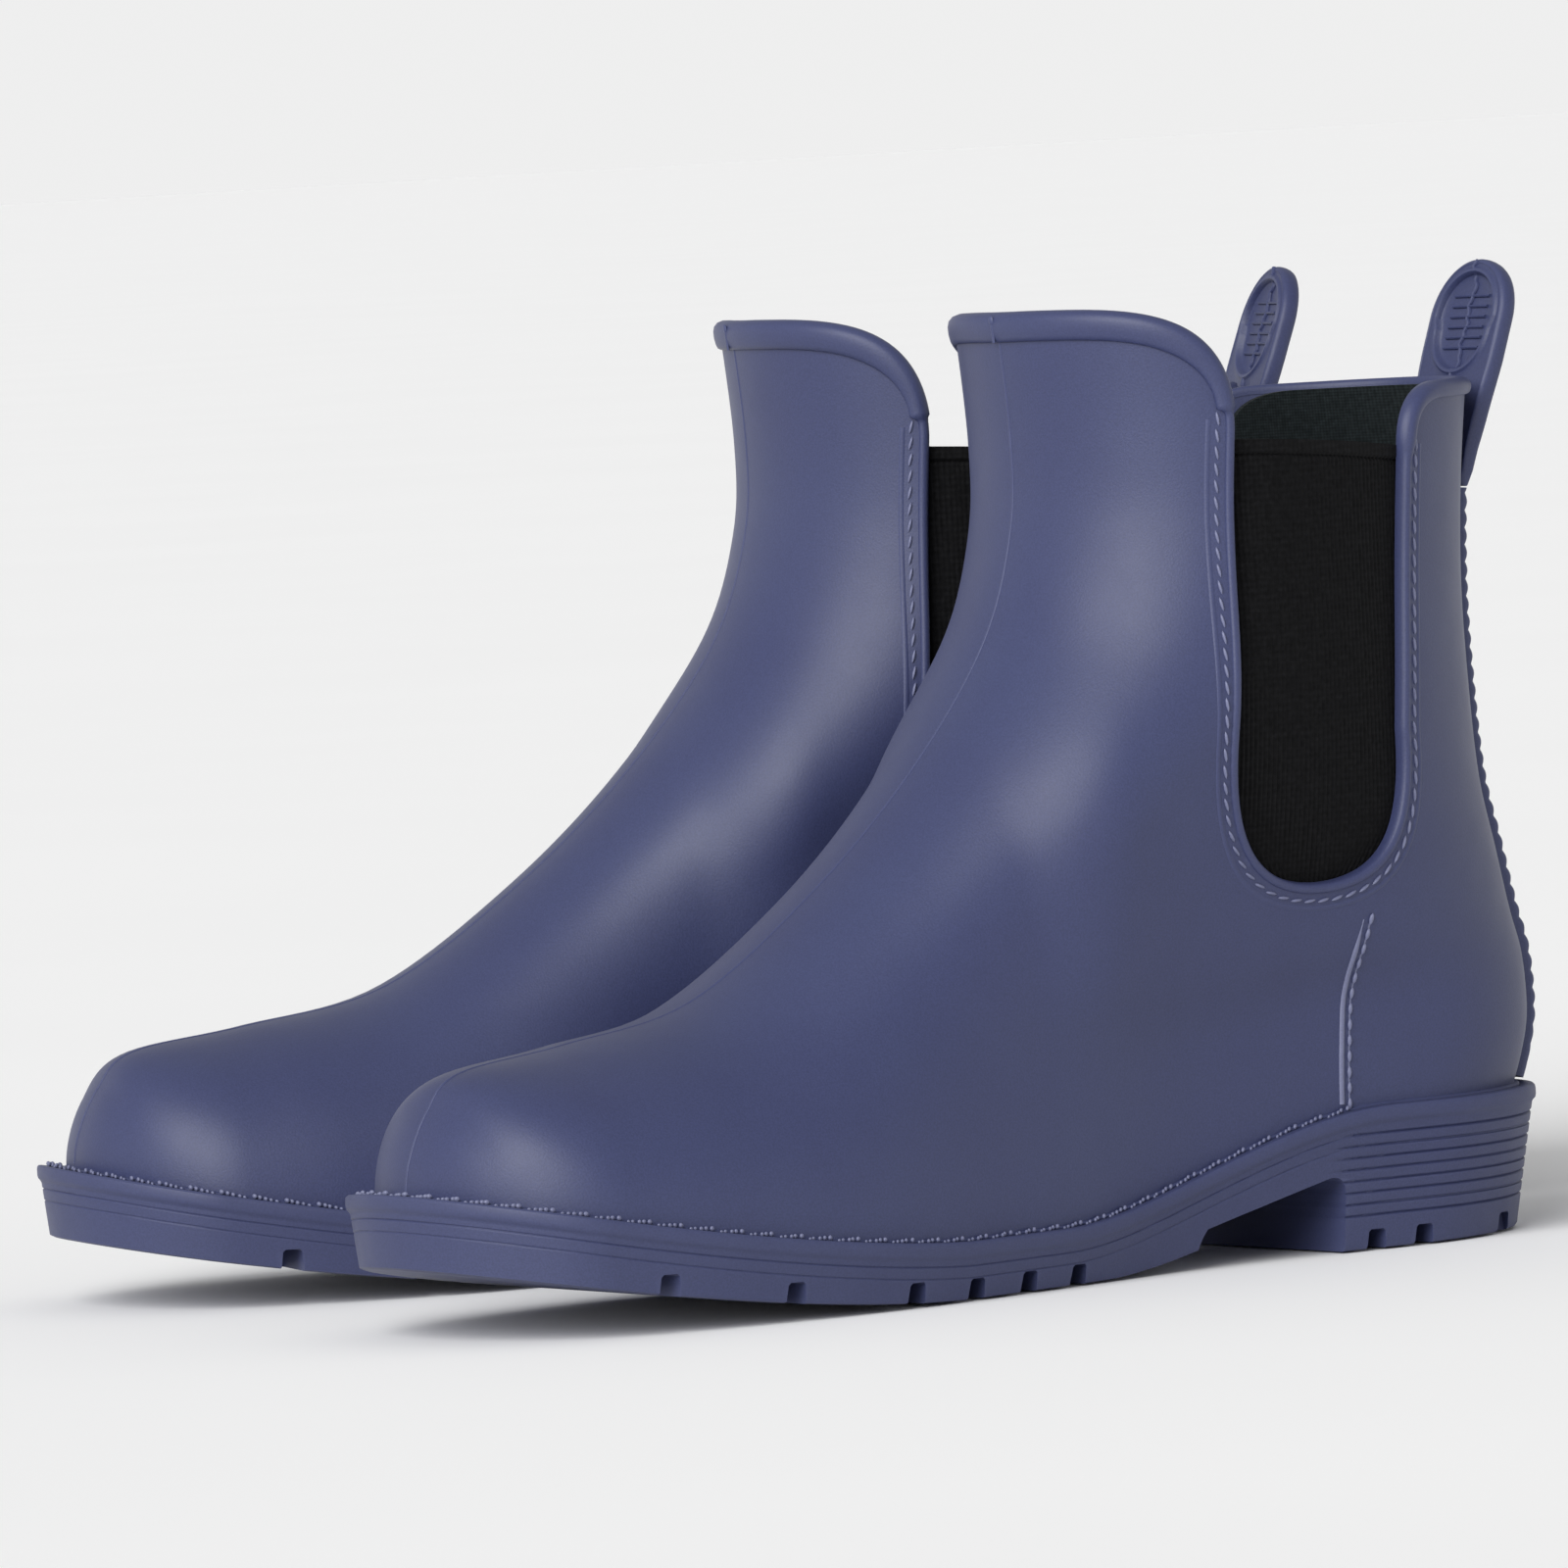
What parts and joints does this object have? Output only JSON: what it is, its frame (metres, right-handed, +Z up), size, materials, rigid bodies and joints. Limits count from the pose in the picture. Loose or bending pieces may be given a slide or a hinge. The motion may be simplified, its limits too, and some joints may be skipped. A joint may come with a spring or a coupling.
{
  "type": "deck boots",
  "caption": "Pair of ankle-high moulded waterproof deck boots with elastic side gores, lugged soles with a low heel, and pull tabs.",
  "frame": {"origin": "centre of the pair's bounding box, on the ground under the soles", "axes": "+Z up; the toes point along -Y; the left boot stands on the +X side"},
  "size_m": [0.2246, 0.285, 0.1962],
  "materials": {
    "shell": "satin moulded PVC, slate navy",
    "sole": "satin moulded tread compound, slate navy",
    "lining": "brushed textile lining",
    "elastic": "fine-ribbed black elastic",
    "thread": "moulded stitching beads",
    "foam": "textile-covered footbed foam",
    "board": "fibre insole board and heel filler"
  },
  "bodies": {
    "left_boot": {"left_upper_shell": "shell", "left_outsole": "sole", "left_welt": "sole", "left_gore_lateral": "elastic", "left_gore_medial": "elastic", "left_gore_thread_lateral": "thread", "left_gore_thread_medial": "thread", "left_back_stay": "shell", "left_lining": "lining", "left_insole_board": "board", "left_footbed": "foam", "left_heel_filler": "board"},
    "left_tab": {"left_pull_tab": "shell"},
    "right_boot": {"right_upper_shell": "shell", "right_outsole": "sole", "right_welt": "sole", "right_gore_lateral": "elastic", "right_gore_medial": "elastic", "right_gore_thread_lateral": "thread", "right_gore_thread_medial": "thread", "right_back_stay": "shell", "right_lining": "lining", "right_insole_board": "board", "right_footbed": "foam", "right_heel_filler": "board"},
    "right_tab": {"right_pull_tab": "shell"}
  },
  "joints": [
    {"name": "right_boot_lift", "type": "slide", "parent": "left_boot", "child": "right_boot", "axis": [0, 0, 1], "range_m": [0, 0.25]},
    {"name": "left_tab_bend", "type": "hinge", "parent": "left_boot", "child": "left_tab", "pos_m": [0.0391, 0.1284, 0.1503], "axis": [-0.9911, -0.1331, 0], "range_deg": [-4, 50], "stiffness_Nm_per_rad": 0.05},
    {"name": "right_tab_bend", "type": "hinge", "parent": "right_boot", "child": "right_tab", "pos_m": [-0.0391, 0.1215, 0.1503], "axis": [-0.9911, 0.1331, 0], "range_deg": [-4, 50], "stiffness_Nm_per_rad": 0.05}
  ]
}
